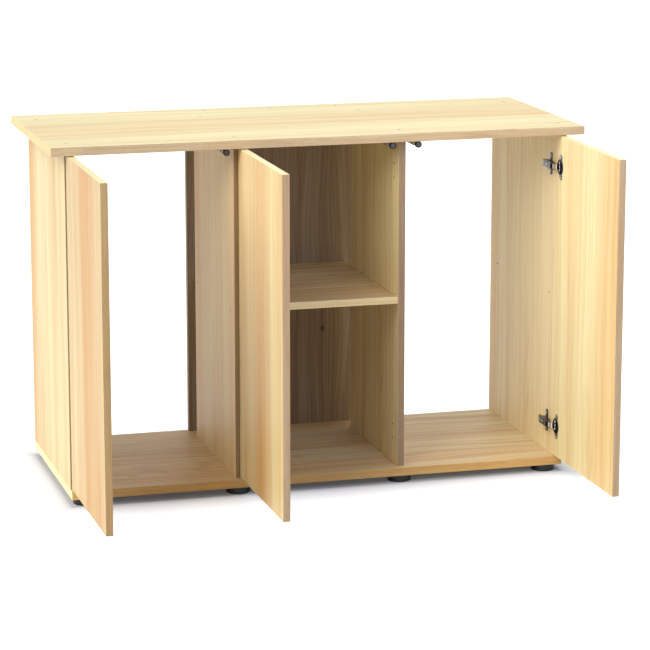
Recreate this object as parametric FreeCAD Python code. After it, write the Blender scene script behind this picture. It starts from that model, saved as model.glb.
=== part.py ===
"""Aquarium cabinet: a board carcass of three bays, with three doors on concealed hinges and push latches.

Millimetres, +Z up. X runs along the front from left to right, and Y runs from the front to the back.
The doors stand open at a right angle, and every piece is drawn where it is in that pose.
The origin is on the floor, in the middle of the box that the open cabinet fills.
"""
import FreeCAD
import Part
import math
import os

# Boards
TOP_WIDTH = 1210.0
TOP_DEPTH = 510.0
TOP_THICKNESS = 19.0
TOP_SIDE_OVERHANG = 35.0
TOP_FRONT_OVERHANG = 16.0
TOP_BACK_OVERHANG = 25.0
BOTTOM_THICKNESS = 19.0
UPRIGHT_HEIGHT = 746.0
BOARD = 16.0
CENTRE_BAY_WIDTH = 361.0
DIVIDER_DEPTH = 382.0
BACK_PANEL_LAP = 6.5
SHELF_TOP_HEIGHT = 392.0
SHELF_SIDE_CLEARANCE = 0.4
EDGE_ROUND = 0.8

# Carcass screws, with flush heads in the top and in the bottom
SCREW_HEAD_RADIUS = 4.5
SCREW_HEAD_DEPTH = 4.0
SCREW_RADIUS = 2.6
SCREW_LENGTH = 52.0
SCREW_SOCKET_ACROSS = 4.0
SCREW_SOCKET_DEPTH = 2.5
SCREW_FRONT_INSET = 26.0
SIDE_SCREW_BACK_INSET = 57.0
DIVIDER_SCREW_BACK_INSET = 30.0
BACK_SCREW_SPACING = 160.0

# Shelf pins and their holes
SHELF_PIN_RADIUS = 2.5
SHELF_PIN_HOLE_DEPTH = 7.0
SHELF_PIN_PROUD = 10.0
SHELF_PIN_ROUND = 0.8
SHELF_PIN_FRONT_INSET = 41.0
DIVIDER_PIN_BACK_INSET = 18.5
SIDE_PIN_BACK_INSET = 52.0

# Feet
FOOT_HEIGHT = 16.0
FOOT_RADIUS = 27.0
FOOT_SOLE_RADIUS = 25.8
FOOT_SOLE_HEIGHT = 1.2
FOOT_PEG_RADIUS = 5.0
FOOT_PEG_LENGTH = 12.0
FOOT_END_INSET = 35.0
FOOT_EDGE_INSET = 30.0

# Doors
DOOR_GAP = 1.5
DOOR_LEVEL_GAP = 2.5
DOOR_REVEAL = 3.0
DOOR_END_REVEAL = 2.5
HINGE_HEIGHT_INSET = 71.0

# Concealed hinges: how the door moves, and the two pins of the link
HINGE_THROW = 16.0
OPEN_STANDOFF = 4.5
ARM_PIN_INSET = 24.5
ARM_PIN_FORWARD = 5.0
PIN_ORBIT = 8.0
PIN_RADIUS = 1.25
PIN_CLEARANCE = 0.05
CUP_PIN_LENGTH = 23.6

# Hinge link
LINK_ELBOW_INWARD = 3.0
LINK_ELBOW_FORWARD = 10.0
LINK_HALF_THICKNESS = 1.9
LINK_EYE_RADIUS = 2.5
LINK_WIDTH = 11.0
LINK_WINDOW = 6.6

# Hinge mounting plate and arm
PLATE_SETBACK = 37.0
PLATE_THICKNESS = 2.5
PLATE_WING_WIDTH = 11.0
PLATE_WING_HEIGHT = 52.0
PLATE_SCREW_SPACING = 32.0
SPARE_HOLE_RADIUS = 2.5
SPARE_HOLE_DEPTH = 11.0
RIDGE_WIDTH = 11.0
RIDGE_LENGTH = 36.0
RIDGE_RISE = 4.0
ARM_WALL = 1.5
ARM_SIDE_CLEARANCE = 0.3
ARM_EYE_RADIUS = 3.2
ARM_CROWN = 4.5
ARM_FOOT_LENGTH = 24.0
ARM_TAIL = 62.0
ARM_TAIL_SLOPE = 12.0
ARM_TAIL_DROP = 3.0
ARM_NECK = 10.0
ARM_WINDOW_BACK = 6.0
HINGE_SCREW_RADIUS = 1.8
HINGE_SCREW_LENGTH = 13.0
HINGE_SCREW_HEAD_RADIUS = 3.6
HINGE_SCREW_HEAD_HEIGHT = 1.6
SCREW_CROSS_WIDTH = 0.9
SCREW_CROSS_REACH = 2.1
ADJUST_SCREW_RADIUS = 2.2
ADJUST_SCREW_HEAD_RADIUS = 3.4
ADJUST_SCREW_SPACING = 16.0

# Hinge cup, let into the door
CUP_EDGE = 4.0
CUP_RADIUS = 17.5
CUP_DEPTH = 12.0
CUP_WALL = 1.0
CUP_FIT = 0.1
CUP_FLANGE = 0.9
CUP_FLANGE_LAP = 0.8
CUP_WING_WIDTH = 16.0
CUP_WING_HEIGHT = 58.0
CUP_WING_OFFSET = 4.0
CUP_SCREW_SPACING = 48.0
CUP_SCREW_LENGTH = 11.0

# Push latches, hung under the top
LATCH_INSET = 21.5
LATCH_DROP = 8.0
LATCH_TIP_RECESS = 7.0
LATCH_DOOR_GAP = 0.4
LATCH_STOP_GAP = 0.6
LATCH_TIP_RADIUS = 7.5
LATCH_TIP_LENGTH = 7.0
LATCH_TIP_ROUND = 1.2
LATCH_MAGNET_RADIUS = 5.2
LATCH_MAGNET_LENGTH = 3.0
LATCH_MAGNET_RECESS = 0.5
LATCH_ROD_RADIUS = 4.5
LATCH_ROD_LENGTH = 60.0
LATCH_ROD_CLEARANCE = 0.06
LATCH_HOUSING_RADIUS = 6.5
LATCH_HOUSING_LENGTH = 72.0
LATCH_HOUSING_END = 6.0
LATCH_FLANGE_WIDTH = 30.0
LATCH_FLANGE_LENGTH = 14.0
LATCH_FLANGE_THICKNESS = 2.5
LATCH_FLANGE_SETBACK = 30.0
LATCH_SCREW_SPACING = 22.0
LATCH_SCREW_RADIUS = 1.5
LATCH_SCREW_LENGTH = 12.0
LATCH_SCREW_HEAD_RADIUS = 3.0
LATCH_SCREW_HEAD_HEIGHT = 1.4

QUARTER_TURN = math.pi / 2
UP = FreeCAD.Vector(0, 0, 1)
ORIGIN = FreeCAD.Vector(0, 0, 0)

# Levels
bottom_z = FOOT_HEIGHT
bay_floor_z = bottom_z + BOTTOM_THICKNESS
bay_ceiling_z = bay_floor_z + UPRIGHT_HEIGHT
top_z = bay_ceiling_z + TOP_THICKNESS
shelf_top_z = bay_floor_z + SHELF_TOP_HEIGHT
shelf_pin_z = shelf_top_z - BOARD - SHELF_PIN_RADIUS
door_bottom_z = bay_floor_z + DOOR_LEVEL_GAP
door_top_z = bay_ceiling_z - DOOR_LEVEL_GAP
hinge_levels = {
    "upper": door_top_z - HINGE_HEIGHT_INSET,
    "lower": door_bottom_z + HINGE_HEIGHT_INSET,
}

# Places across the front
carcass_half = TOP_WIDTH / 2 - TOP_SIDE_OVERHANG
side_inner = carcass_half - BOARD
divider_inner = CENTRE_BAY_WIDTH / 2
divider_outer = divider_inner + BOARD
divider_middle = divider_inner + BOARD / 2
side_middle = carcass_half - BOARD / 2
outer_door_width = carcass_half - DOOR_END_REVEAL - divider_middle - DOOR_REVEAL / 2
centre_door_width = 2 * divider_middle - DOOR_REVEAL
outer_overlay = BOARD - DOOR_END_REVEAL
centre_overlay = divider_middle - DOOR_REVEAL / 2 - divider_inner

# Places from front to back
door_inner_setback = TOP_FRONT_OVERHANG + BOARD
upright_setback = door_inner_setback + DOOR_GAP
door_reach = OPEN_STANDOFF + max(outer_door_width, centre_door_width) - upright_setback
top_front = (door_reach - TOP_DEPTH) / 2
top_back = top_front + TOP_DEPTH
carcass_front = top_front + TOP_FRONT_OVERHANG
carcass_back = top_back - TOP_BACK_OVERHANG
upright_front = top_front + upright_setback
divider_back = upright_front + DIVIDER_DEPTH
back_panel_front = carcass_back - BOARD

# The swing of a door, measured from the hinge edge of the closed door (inwards is negative) and
# forwards from the front edge of the upright. The pole is the point that a plain quarter turn
# from open to closed would go round. The arm pin sees the cup pin at equal distances in both.
pole_across = (OPEN_STANDOFF - DOOR_GAP - HINGE_THROW) / 2
pole_forward = (HINGE_THROW + OPEN_STANDOFF + DOOR_GAP) / 2
arm_pin_bearing = math.atan2(ARM_PIN_FORWARD - pole_forward, -ARM_PIN_INSET - pole_across)
cup_pin_bearing = arm_pin_bearing - QUARTER_TURN / 2
cup_pin_across = pole_across + PIN_ORBIT * math.cos(cup_pin_bearing)
cup_pin_forward = pole_forward + PIN_ORBIT * math.sin(cup_pin_bearing)
closed_pin_across = pole_across - PIN_ORBIT * math.sin(cup_pin_bearing)
closed_pin_forward = pole_forward + PIN_ORBIT * math.cos(cup_pin_bearing)
open_link_bearing = math.atan2(cup_pin_forward - ARM_PIN_FORWARD, cup_pin_across + ARM_PIN_INSET)
closed_link_bearing = math.atan2(closed_pin_forward - ARM_PIN_FORWARD, closed_pin_across + ARM_PIN_INSET)
link_turn = closed_link_bearing - open_link_bearing
cup_middle = OPEN_STANDOFF + CUP_EDGE + CUP_RADIUS
arm_width = RIDGE_WIDTH + 2 * (ARM_SIDE_CLEARANCE + ARM_WALL)
arm_slot = arm_width - 2 * ARM_WALL

# Latch places
latch_axis_z = bay_ceiling_z - LATCH_DROP
latch_ear_z = bay_ceiling_z - LATCH_FLANGE_THICKNESS
latch_tip_front = top_front + LATCH_TIP_RECESS
latch_tip_pressed = top_front + door_inner_setback + LATCH_DOOR_GAP
latch_travel = latch_tip_pressed - latch_tip_front
latch_rod_front = latch_tip_front + LATCH_TIP_LENGTH
latch_housing_front = latch_tip_pressed + LATCH_TIP_LENGTH + LATCH_STOP_GAP

# Each door: the upright's corner that it hangs on, the way its hinge side faces, its overlay and width
doors = {
    "left": (-side_inner, -1, outer_overlay, outer_door_width),
    "centre": (-divider_inner, -1, centre_overlay, centre_door_width),
    "right": (side_inner, 1, outer_overlay, outer_door_width),
}
latches = {
    "left": -divider_outer - LATCH_INSET,
    "centre": divider_inner - LATCH_INSET,
    "right": divider_outer + LATCH_INSET,
}


def vector(x, y, z):
    return FreeCAD.Vector(x, y, z)


def block(x0, x1, y0, y1, z0, z1):
    """A plain box between two corners."""
    return Part.makeBox(x1 - x0, y1 - y0, z1 - z0, vector(x0, y0, z0))


def board(x0, x1, y0, y1, z0, z1):
    """A board with its edge banding rounded over."""
    plain = block(x0, x1, y0, y1, z0, z1)
    return plain.makeFillet(EDGE_ROUND, plain.Edges)


def prism(outline, z0, z1):
    """A closed wire in the XY plane, raised from z0 to z1."""
    face = Part.Face(outline)
    face.translate(vector(0, 0, z0))
    return face.extrude(vector(0, 0, z1 - z0))


def polygon(points):
    """A closed wire of straight edges through points in the XY plane."""
    corners = [vector(x, y, 0) for x, y in points]
    return Part.makePolygon(corners + corners[:1])


def revolve(points, base, axis):
    """A solid turned from a profile of (radius, height) points, standing on base along axis."""
    corners = [vector(radius, 0, height) for radius, height in points]
    turned = Part.Face(Part.makePolygon(corners + corners[:1])).revolve(ORIGIN, UP, 360)
    turned.Placement = FreeCAD.Placement(base, FreeCAD.Rotation(UP, axis))
    return turned


def drilled(solid, tools):
    """The solid with every tool cut out of it."""
    return solid.cut(Part.makeCompound(tools)) if tools else solid


def rod(radius, length, base, axis):
    return Part.makeCylinder(radius, length, base, axis)


# Fasteners

def carcass_screw(base, axis):
    """A countersunk screw whose head is flush at base, without its socket: also the tool for its hole."""
    profile = [(0, 0), (SCREW_HEAD_RADIUS, 0), (SCREW_RADIUS, SCREW_HEAD_DEPTH), (SCREW_RADIUS, SCREW_LENGTH),
               (0, SCREW_LENGTH)]
    return revolve(profile, base, axis)


def socketed(screw, base, axis):
    """The screw with a hexagon socket in its head."""
    reach = SCREW_SOCKET_ACROSS / math.sqrt(3)
    turns = [corner * math.pi / 3 for corner in range(6)]
    hexagon = [(reach * math.cos(turn), reach * math.sin(turn)) for turn in turns]
    socket = prism(polygon(hexagon), 0, SCREW_SOCKET_DEPTH)
    socket.Placement = FreeCAD.Placement(base, FreeCAD.Rotation(UP, axis))
    return screw.cut(socket)


def carcass_screw_places():
    """Where the screws of the top go in plan. Those of the bottom stand under them."""
    front = upright_front + SCREW_FRONT_INSET
    side_back = carcass_back - SIDE_SCREW_BACK_INSET
    middle_back = divider_back - DIVIDER_SCREW_BACK_INSET
    places = []
    for hand in (-1, 1):
        places += [(hand * side_middle, front), (hand * side_middle, side_back)]
        places += [(hand * divider_middle, front), (hand * divider_middle, middle_back)]
    back_row = back_panel_front + BOARD / 2
    places += [(step * BACK_SCREW_SPACING, back_row) for step in (-1, 0, 1)]
    return places


def carcass_screws():
    """Screw solids with their heads, and the tools that cut their holes, for the top and the bottom."""
    solids = {"top_screws": [], "bottom_screws": []}
    tools = []
    for x, y in carcass_screw_places():
        for name, level, axis in (("top_screws", top_z, -UP), ("bottom_screws", bottom_z, UP)):
            base = vector(x, y, level)
            tool = carcass_screw(base, axis)
            tools.append(tool)
            solids[name].append(socketed(tool, base, axis))
    return solids, tools


def pan_screw(head_radius, head_height, radius, length):
    """A pan-head screw on the Z axis, its cross-recessed head above zero and its shank below."""
    head = rod(head_radius, head_height, ORIGIN, UP)
    rim = [edge for edge in head.Edges if edge.Closed and edge.CenterOfMass.z > head_height / 2]
    head = head.makeFillet(head_height / 2, rim)
    half, reach = SCREW_CROSS_WIDTH / 2, SCREW_CROSS_REACH
    floor, past = head_height / 3, 2 * head_height
    cross = [block(-reach, reach, -half, half, floor, past), block(-half, half, -reach, reach, floor, past)]
    return drilled(head, cross).fuse(rod(radius, length, ORIGIN, -UP)).removeSplitter()


def shelf_pin_places():
    """Face, outward direction, distance back and level of each hole row for shelf pins."""
    front = upright_front + SHELF_PIN_FRONT_INSET
    divider_row = (front, divider_back - DIVIDER_PIN_BACK_INSET)
    side_row = (front, carcass_back - SIDE_PIN_BACK_INSET)
    return {
        "left_side": [(-side_inner, 1, side_row)],
        "left_divider": [(-divider_outer, -1, divider_row), (-divider_inner, 1, divider_row)],
        "right_divider": [(divider_inner, -1, divider_row), (divider_outer, 1, divider_row)],
        "right_side": [(side_inner, -1, side_row)],
    }


def shelf_pin_holes(board_name):
    tools = []
    for face, outward, row in shelf_pin_places()[board_name]:
        inward = vector(-outward, 0, 0)
        mouths = [vector(face, y, shelf_pin_z) for y in row]
        tools += [rod(SHELF_PIN_RADIUS, SHELF_PIN_HOLE_DEPTH, mouth, inward) for mouth in mouths]
    return tools


def shelf_pin(face, outward, y):
    """One pin, seated in its hole and rounded at its free end."""
    base = vector(face - outward * SHELF_PIN_HOLE_DEPTH, y, shelf_pin_z)
    length = SHELF_PIN_HOLE_DEPTH + SHELF_PIN_PROUD
    pin = rod(SHELF_PIN_RADIUS, length, base, vector(outward, 0, 0))
    tip = face + outward * SHELF_PIN_PROUD
    rims = [edge for edge in pin.Edges if edge.Closed and abs(edge.CenterOfMass.x - tip) < SHELF_PIN_ROUND]
    return pin.makeFillet(SHELF_PIN_ROUND, rims)


def shelf_pins():
    """The pins under the shelf, in the holes on the inner faces of the dividers."""
    pins = []
    for board_name, outward in (("left_divider", 1), ("right_divider", -1)):
        for face, side, row in shelf_pin_places()[board_name]:
            if side == outward:
                pins += [shelf_pin(face, outward, y) for y in row]
    return pins


# Hinges, drawn about the front inner corner of their upright: X points into the upright's thickness,
# Y points forwards out of the cabinet and Z is measured from the middle of the hinge.

def on_upright(solid, corner, facing):
    """Carry a solid from the hinge's own axes to its upright, turned for a left or mirrored for a right."""
    carried = solid.copy()
    if facing < 0:
        carried.rotate(ORIGIN, UP, 180)
    else:
        carried = carried.mirror(ORIGIN, vector(0, 1, 0))
    carried.translate(vector(corner, upright_front, 0))
    return carried


def stadium(thickness_from, thickness_to, middle, width, height):
    """A flat bar across the hinge with round ends, standing along Z."""
    straight = height / 2 - width / 2
    bar = block(thickness_from, thickness_to, middle - width / 2, middle + width / 2, -straight, straight)
    ends = [rod(width / 2, thickness_to - thickness_from, vector(thickness_from, middle, z), vector(1, 0, 0))
            for z in (-straight, straight)]
    return bar.multiFuse(ends).removeSplitter()


def ridge_top(overlay):
    """Height of the plate's ridge: it follows the arm, which a smaller overlay cranks inwards."""
    return -(PLATE_THICKNESS + RIDGE_RISE + outer_overlay - overlay)


def arm_crown(overlay):
    return overlay - ARM_PIN_INSET - ARM_CROWN


def adjust_screw_rows():
    return [-PLATE_SETBACK + ADJUST_SCREW_SPACING / 2, -PLATE_SETBACK - ADJUST_SCREW_SPACING / 2]


def hinge_plate(overlay):
    """Cross-shaped plate screwed to the upright, with the ridge that carries the arm."""
    wings = stadium(-PLATE_THICKNESS, 0, -PLATE_SETBACK, PLATE_WING_WIDTH, PLATE_WING_HEIGHT)
    ridge = block(ridge_top(overlay), 0, -PLATE_SETBACK - RIDGE_LENGTH / 2, -PLATE_SETBACK + RIDGE_LENGTH / 2,
                  -RIDGE_WIDTH / 2, RIDGE_WIDTH / 2)
    plate = wings.fuse(ridge).removeSplitter()
    arm_screws = [adjust_screw_shank(overlay, row) for row in adjust_screw_rows()]
    return drilled(plate, plate_screw_shanks() + arm_screws)


def plate_screw_shanks():
    base_u = -PLATE_THICKNESS
    return [rod(HINGE_SCREW_RADIUS, HINGE_SCREW_LENGTH, vector(base_u, -PLATE_SETBACK, z), vector(1, 0, 0))
            for z in (-PLATE_SCREW_SPACING / 2, PLATE_SCREW_SPACING / 2)]


def adjust_screw_length(overlay):
    return ridge_top(overlay) - arm_crown(overlay) + RIDGE_RISE / 2


def adjust_screw_shank(overlay, row):
    base = vector(arm_crown(overlay), row, 0)
    return rod(ADJUST_SCREW_RADIUS, adjust_screw_length(overlay), base, vector(1, 0, 0))


def hinge_arm(overlay):
    """Channel-shaped arm over the ridge, with two ears that hold the arm pin in front."""
    pin = overlay - ARM_PIN_INSET
    crown = arm_crown(overlay)
    foot_front = -PLATE_SETBACK + ARM_FOOT_LENGTH / 2
    foot_back = -PLATE_SETBACK - ARM_FOOT_LENGTH / 2
    tail_top = pin - ARM_EYE_RADIUS / 2
    under = pin + ARM_EYE_RADIUS
    slope_back = -ARM_TAIL + ARM_TAIL_SLOPE
    eye_top = vector(pin - ARM_EYE_RADIUS, ARM_PIN_FORWARD, 0)
    eye_front = vector(pin, ARM_PIN_FORWARD + ARM_EYE_RADIUS, 0)
    eye_under = vector(under, ARM_PIN_FORWARD, 0)
    rest = [(under, -ARM_NECK), (-PLATE_THICKNESS, foot_front), (-PLATE_THICKNESS, foot_back),
            (pin + ARM_TAIL_DROP, slope_back), (pin + ARM_TAIL_DROP, -ARM_TAIL), (tail_top, -ARM_TAIL),
            (crown, slope_back), (crown, -ARM_WINDOW_BACK)]
    corners = [eye_under] + [vector(x, y, 0) for x, y in rest] + [eye_top]
    nose = Part.Arc(eye_top, eye_front, eye_under).toShape()
    profile = Part.Wire([Part.makePolygon(corners), nose])
    body = prism(profile, -arm_width / 2, arm_width / 2)
    past = 2 * ARM_EYE_RADIUS
    hollow = polygon([(past, -ARM_TAIL - past), (pin, -ARM_TAIL - past), (pin, -ARM_TAIL),
                      (crown + ARM_WALL, slope_back), (crown + ARM_WALL, -ARM_WINDOW_BACK),
                      (crown - past, -ARM_WINDOW_BACK), (crown - past, ARM_PIN_FORWARD + past),
                      (past, ARM_PIN_FORWARD + past)])
    tools = [prism(hollow, -arm_slot / 2, arm_slot / 2)]
    tools.append(rod(PIN_RADIUS + PIN_CLEARANCE, 2 * arm_width, vector(pin, ARM_PIN_FORWARD, -arm_width), UP))
    tools += [adjust_screw_shank(overlay, row) for row in adjust_screw_rows()]
    return drilled(body, tools)


def wood_screw(length):
    """The pan-head screw that holds plates and cups to the boards."""
    return pan_screw(HINGE_SCREW_HEAD_RADIUS, HINGE_SCREW_HEAD_HEIGHT, HINGE_SCREW_RADIUS, length)


def hinge_screws(overlay):
    """Two screws through the plate's wings into the upright, and two that hold and adjust the arm."""
    wing_screw = wood_screw(HINGE_SCREW_LENGTH)
    arm_screw = pan_screw(ADJUST_SCREW_HEAD_RADIUS, HINGE_SCREW_HEAD_HEIGHT, ADJUST_SCREW_RADIUS,
                          adjust_screw_length(overlay))
    outward = FreeCAD.Rotation(UP, vector(-1, 0, 0))
    screws = []
    for z in (-PLATE_SCREW_SPACING / 2, PLATE_SCREW_SPACING / 2):
        screw = wing_screw.copy()
        screw.Placement = FreeCAD.Placement(vector(-PLATE_THICKNESS, -PLATE_SETBACK, z), outward)
        screws.append(screw)
    for row in adjust_screw_rows():
        screw = arm_screw.copy()
        screw.Placement = FreeCAD.Placement(vector(arm_crown(overlay), row, 0), outward)
        screws.append(screw)
    return screws


def link_bar(start, end, half):
    """A straight bar with round ends between two points, as thick as twice half."""
    along = math.atan2(end[1] - start[1], end[0] - start[0])
    length = math.hypot(end[0] - start[0], end[1] - start[1])
    bar = block(0, length, -half, half, -LINK_WIDTH / 2, LINK_WIDTH / 2)
    bar.rotate(ORIGIN, UP, math.degrees(along))
    bar.translate(vector(start[0], start[1], 0))
    ends = [rod(half, LINK_WIDTH, vector(x, y, -LINK_WIDTH / 2), UP) for x, y in (start, end)]
    return bar.multiFuse(ends)


def hinge_pins_at(overlay):
    """The arm pin and the cup pin in plan, with the door open."""
    arm_pin = (overlay - ARM_PIN_INSET, ARM_PIN_FORWARD)
    cup_pin = (overlay + cup_pin_across, cup_pin_forward)
    return arm_pin, cup_pin


def hinge_link(overlay):
    """Bent link that goes round the door's edge from the arm pin to the cup pin."""
    arm_pin, cup_pin = hinge_pins_at(overlay)
    elbow = (arm_pin[0] + LINK_ELBOW_INWARD, arm_pin[1] + LINK_ELBOW_FORWARD)
    eye = rod(LINK_EYE_RADIUS, LINK_WIDTH, vector(arm_pin[0], arm_pin[1], -LINK_WIDTH / 2), UP)
    bars = [link_bar(arm_pin, elbow, LINK_HALF_THICKNESS), link_bar(elbow, cup_pin, LINK_HALF_THICKNESS)]
    body = eye.multiFuse(bars).removeSplitter()
    window = rod(2 * LINK_HALF_THICKNESS, LINK_WINDOW, vector(cup_pin[0], cup_pin[1], -LINK_WINDOW / 2), UP)
    return drilled(body, [window] + hinge_pins(overlay))


def hinge_pins(overlay):
    """The two pins that are pressed into the link and turn in the arm's ears and in the cup."""
    arm_pin, cup_pin = hinge_pins_at(overlay)
    return [rod(PIN_RADIUS, arm_width, vector(arm_pin[0], arm_pin[1], -arm_width / 2), UP),
            rod(PIN_RADIUS, CUP_PIN_LENGTH, vector(cup_pin[0], cup_pin[1], -CUP_PIN_LENGTH / 2), UP)]


def cup_screw_places():
    return [(cup_middle + CUP_WING_OFFSET, z) for z in (-CUP_SCREW_SPACING / 2, CUP_SCREW_SPACING / 2)]


def hinge_cup(overlay):
    """Pressed steel cup with a flange and two wings on the door's inner face."""
    face = overlay - HINGE_THROW
    into = vector(1, 0, 0)
    shell = rod(CUP_RADIUS, CUP_DEPTH, vector(face, cup_middle, 0), into)
    rim = rod(CUP_RADIUS + CUP_FLANGE_LAP, CUP_FLANGE, vector(face - CUP_FLANGE, cup_middle, 0), into)
    wings = stadium(face - CUP_FLANGE, face, cup_middle + CUP_WING_OFFSET, CUP_WING_WIDTH, CUP_WING_HEIGHT)
    cup = shell.multiFuse([rim, wings]).removeSplitter()
    mouth = vector(face - CUP_FLANGE, cup_middle, 0)
    tools = [rod(CUP_RADIUS - CUP_WALL, CUP_FLANGE + CUP_DEPTH - CUP_WALL, mouth, into)]
    pin = hinge_pins_at(overlay)[1]
    tools.append(rod(PIN_RADIUS + PIN_CLEARANCE, 4 * CUP_RADIUS, vector(pin[0], pin[1], -2 * CUP_RADIUS), UP))
    tools += [rod(HINGE_SCREW_RADIUS, 2 * CUP_FLANGE, vector(face - CUP_FLANGE, y, z), into)
              for y, z in cup_screw_places()]
    return drilled(cup, tools)


def cup_screws(overlay):
    """The two screws through the wings of a cup into the door."""
    face = overlay - HINGE_THROW
    outward = FreeCAD.Rotation(UP, vector(-1, 0, 0))
    screws = []
    for y, z in cup_screw_places():
        screw = wood_screw(CUP_SCREW_LENGTH)
        screw.Placement = FreeCAD.Placement(vector(face - CUP_FLANGE, y, z), outward)
        screws.append(screw)
    return screws


def door_tools(overlay):
    """What a hinge takes out of the door: the cup's pocket, clear of the pin's ends, and the screw holes."""
    face = overlay - HINGE_THROW
    into = vector(1, 0, 0)
    pocket = rod(CUP_RADIUS + CUP_FIT, CUP_DEPTH + CUP_FIT, vector(face, cup_middle, 0), into)
    return [pocket] + [rod(HINGE_SCREW_RADIUS, CUP_SCREW_LENGTH, vector(face - CUP_FLANGE, y, z), into)
                       for y, z in cup_screw_places()]


def raised(solids, level):
    """Copies of the solids, lifted from the hinge's middle to its level."""
    copies = [solid.copy() for solid in solids]
    for solid in copies:
        solid.translate(vector(0, 0, level))
    return copies


def door(overlay, width):
    face = overlay - HINGE_THROW
    panel = board(face, face + BOARD, OPEN_STANDOFF, OPEN_STANDOFF + width, door_bottom_z, door_top_z)
    tools = []
    for level in hinge_levels.values():
        tools += raised(door_tools(overlay), level)
    return drilled(panel, tools)


def hinge_nodes():
    """Doors and all their hinge pieces, by node name, and the tools for the plate screws in the uprights."""
    nodes = {"hinge_screws": []}
    upright_tools = []
    for name, (corner, facing, overlay, width) in doors.items():
        nodes[name + "_door"] = [on_upright(door(overlay, width), corner, facing)]
        for level_name, level in hinge_levels.items():
            hinge = name + "_" + level_name + "_hinge_"
            pieces = {
                hinge + "plate": [hinge_plate(overlay)],
                hinge + "arm": [hinge_arm(overlay)],
                hinge + "cup": [hinge_cup(overlay)],
                "hinge_screws": hinge_screws(overlay),
                name + "_hinge_links": [hinge_link(overlay)],
                name + "_hinge_pins": hinge_pins(overlay),
                name + "_cup_screws": cup_screws(overlay),
            }
            for node, solids in pieces.items():
                placed = [on_upright(solid, corner, facing) for solid in raised(solids, level)]
                nodes.setdefault(node, []).extend(placed)
            shanks = raised(plate_screw_shanks(), level)
            upright_tools += [on_upright(shank, corner, facing) for shank in shanks]
    return nodes, upright_tools


def spare_hinge_holes():
    """Hole pairs on the right divider, for hanging the centre door on its other side."""
    y = upright_front + PLATE_SETBACK
    tools = []
    for level in hinge_levels.values():
        for z in (level - PLATE_SCREW_SPACING / 2, level + PLATE_SCREW_SPACING / 2):
            mouth = vector(divider_inner, y, z)
            tools.append(rod(SPARE_HOLE_RADIUS, SPARE_HOLE_DEPTH, mouth, vector(1, 0, 0)))
    return tools


# Feet

def foot_places(row):
    end = carcass_half - FOOT_END_INSET
    return [(x, row) for x in (-end, -divider_middle, divider_middle, end)]


def foot(x, y):
    """Turned plastic glide with a narrower sole and a peg that is pressed into the bottom."""
    profile = [(0, 0), (FOOT_SOLE_RADIUS, 0), (FOOT_RADIUS, FOOT_SOLE_HEIGHT), (FOOT_RADIUS, FOOT_HEIGHT),
               (FOOT_PEG_RADIUS, FOOT_HEIGHT), (FOOT_PEG_RADIUS, FOOT_HEIGHT + FOOT_PEG_LENGTH),
               (0, FOOT_HEIGHT + FOOT_PEG_LENGTH)]
    return revolve(profile, vector(x, y, 0), UP)


def foot_rows():
    return {
        "front_feet": foot_places(carcass_front + FOOT_EDGE_INSET),
        "rear_feet": foot_places(carcass_back - FOOT_EDGE_INSET),
    }


def foot_peg_holes():
    return [rod(FOOT_PEG_RADIUS, FOOT_PEG_LENGTH, vector(x, y, bottom_z), UP)
            for places in foot_rows().values() for x, y in places]


# Push latches

def latch_screw_places(x):
    y = latch_housing_front + LATCH_FLANGE_SETBACK
    return [(x + hand * LATCH_SCREW_SPACING / 2, y) for hand in (-1, 1)]


def latch_screw_shanks(x):
    places = [vector(px, py, latch_ear_z) for px, py in latch_screw_places(x)]
    return [rod(LATCH_SCREW_RADIUS, LATCH_SCREW_LENGTH, place, UP) for place in places]


def latch_screws(x):
    screws = []
    for px, py in latch_screw_places(x):
        screw = pan_screw(LATCH_SCREW_HEAD_RADIUS, LATCH_SCREW_HEAD_HEIGHT, LATCH_SCREW_RADIUS,
                          LATCH_SCREW_LENGTH)
        screw.Placement = FreeCAD.Placement(vector(px, py, latch_ear_z), FreeCAD.Rotation(UP, -UP))
        screws.append(screw)
    return screws


def latch_housing(x):
    """Round barrel hung from a flat back and two ears, with a blind bore for the plunger."""
    front = latch_housing_front
    back = front + LATCH_HOUSING_LENGTH
    mouth = vector(x, front, latch_axis_z)
    along = vector(0, 1, 0)
    barrel = rod(LATCH_HOUSING_RADIUS, LATCH_HOUSING_LENGTH, mouth, along)
    left, right = x - LATCH_HOUSING_RADIUS, x + LATCH_HOUSING_RADIUS
    spine = block(left, right, front, back, latch_axis_z, bay_ceiling_z)
    ear_front = front + LATCH_FLANGE_SETBACK - LATCH_FLANGE_LENGTH / 2
    ear_reach = LATCH_FLANGE_WIDTH / 2
    ears = block(x - ear_reach, x + ear_reach, ear_front, ear_front + LATCH_FLANGE_LENGTH,
                 latch_ear_z, bay_ceiling_z)
    upright_edges = [edge for edge in ears.Edges if abs(edge.tangentAt(0).z) > 0.5]
    ears = ears.makeFillet(LATCH_SCREW_HEAD_RADIUS, upright_edges)
    body = barrel.multiFuse([spine, ears]).removeSplitter()
    bore_depth = LATCH_HOUSING_LENGTH - LATCH_HOUSING_END
    bore = rod(LATCH_ROD_RADIUS + LATCH_ROD_CLEARANCE, bore_depth, mouth, along)
    return drilled(body, [bore] + latch_screw_shanks(x))


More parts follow.
